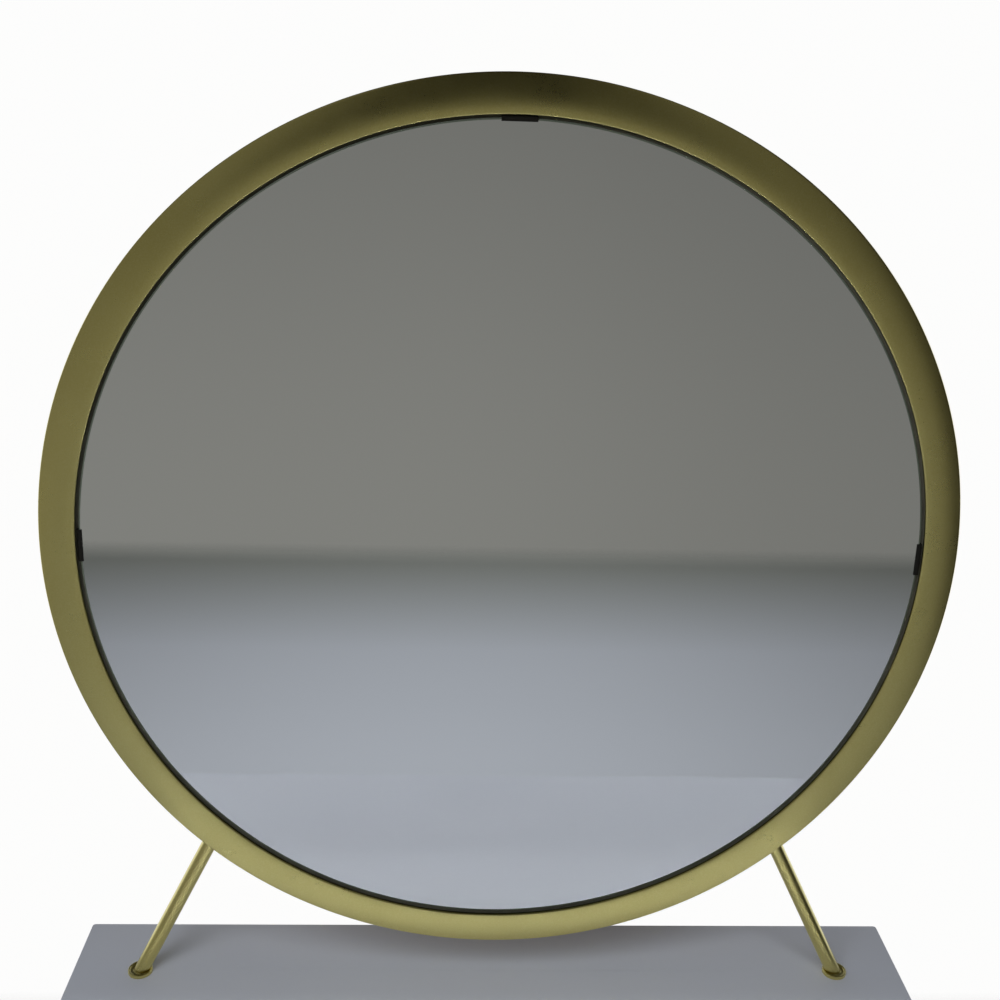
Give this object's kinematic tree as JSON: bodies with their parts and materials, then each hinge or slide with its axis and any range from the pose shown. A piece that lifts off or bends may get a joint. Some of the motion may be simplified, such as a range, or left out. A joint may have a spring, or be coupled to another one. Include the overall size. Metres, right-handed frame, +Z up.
{
  "type": "vanity table with mirror",
  "caption": "Small vanity table with a shallow drawer, splayed tube legs and a fixed round mirror on splayed rods.",
  "frame": {"origin": "on the floor, under the middle of the whole object's box", "axes": "+X to the sitter's right, +Y from the sitter towards the mirror, +Z up"},
  "size_m": [0.7, 0.42, 1.4725],
  "materials": {
    "satin_brass": "satin brass-coloured coating on steel",
    "mirror": "silvered float glass with a polished arris",
    "backing_board": "bare fibreboard",
    "black_steel": "black coated spring steel",
    "white_lacquer": "satin white lacquer on fibreboard",
    "birch_board": "clear lacquered birch",
    "drawer_bottom_board": "thin board with a pale face",
    "beech_dowel": "plain beech",
    "zinc_steel": "zinc-plated sheet steel",
    "fastener_steel": "zinc-plated steel",
    "black_plastic": "moulded nylon"
  },
  "bodies": {
    "table": {"mirror_frame": "satin_brass", "mirror_glass": "mirror", "mirror_backing": "backing_board", "mirror_clips": "black_steel", "clip_screws": "fastener_steel", "backing_lugs": "satin_brass", "backing_screws": "fastener_steel", "left_rod": "satin_brass", "right_rod": "satin_brass", "left_rod_foot": "satin_brass", "right_rod_foot": "satin_brass", "rod_studs": "fastener_steel", "rod_washers": "fastener_steel", "rod_nuts": "fastener_steel", "table_top": "white_lacquer", "left_side": "white_lacquer", "right_side": "white_lacquer", "back_board": "white_lacquer", "bottom_board": "white_lacquer", "case_dowels": "beech_dowel", "top_brackets": "fastener_steel", "bracket_screws": "fastener_steel", "left_slide_outer": "zinc_steel", "right_slide_outer": "zinc_steel", "outer_slide_screws": "fastener_steel", "front_left_leg": "satin_brass", "front_right_leg": "satin_brass", "rear_left_leg": "satin_brass", "rear_right_leg": "satin_brass", "front_left_leg_plate": "satin_brass", "front_right_leg_plate": "satin_brass", "rear_left_leg_plate": "satin_brass", "rear_right_leg_plate": "satin_brass", "front_left_glide": "black_plastic", "front_right_glide": "black_plastic", "rear_left_glide": "black_plastic", "rear_right_glide": "black_plastic", "leg_screws": "fastener_steel"},
    "drawer": {"drawer_front": "white_lacquer", "drawer_left_side": "birch_board", "drawer_right_side": "birch_board", "drawer_back": "birch_board", "drawer_bottom": "drawer_bottom_board", "drawer_dowels": "beech_dowel", "drawer_screws": "fastener_steel", "drawer_knob": "satin_brass", "knob_screw": "fastener_steel", "left_slide_inner": "zinc_steel", "right_slide_inner": "zinc_steel", "inner_slide_screws": "fastener_steel"},
    "slide_middles": {"left_slide_middle": "zinc_steel", "right_slide_middle": "zinc_steel"}
  },
  "joints": [
    {"name": "drawer_travel", "type": "slide", "parent": "table", "child": "drawer", "axis": [0, -1, 0], "range_m": [0, 0.3]},
    {"name": "slide_middle_travel", "type": "slide", "parent": "table", "child": "slide_middles", "axis": [0, -1, 0], "range_m": [0, 0.15]}
  ],
  "couplings": [
    {"joint": "slide_middle_travel", "follows": "drawer_travel", "ratio": 0.5}
  ]
}
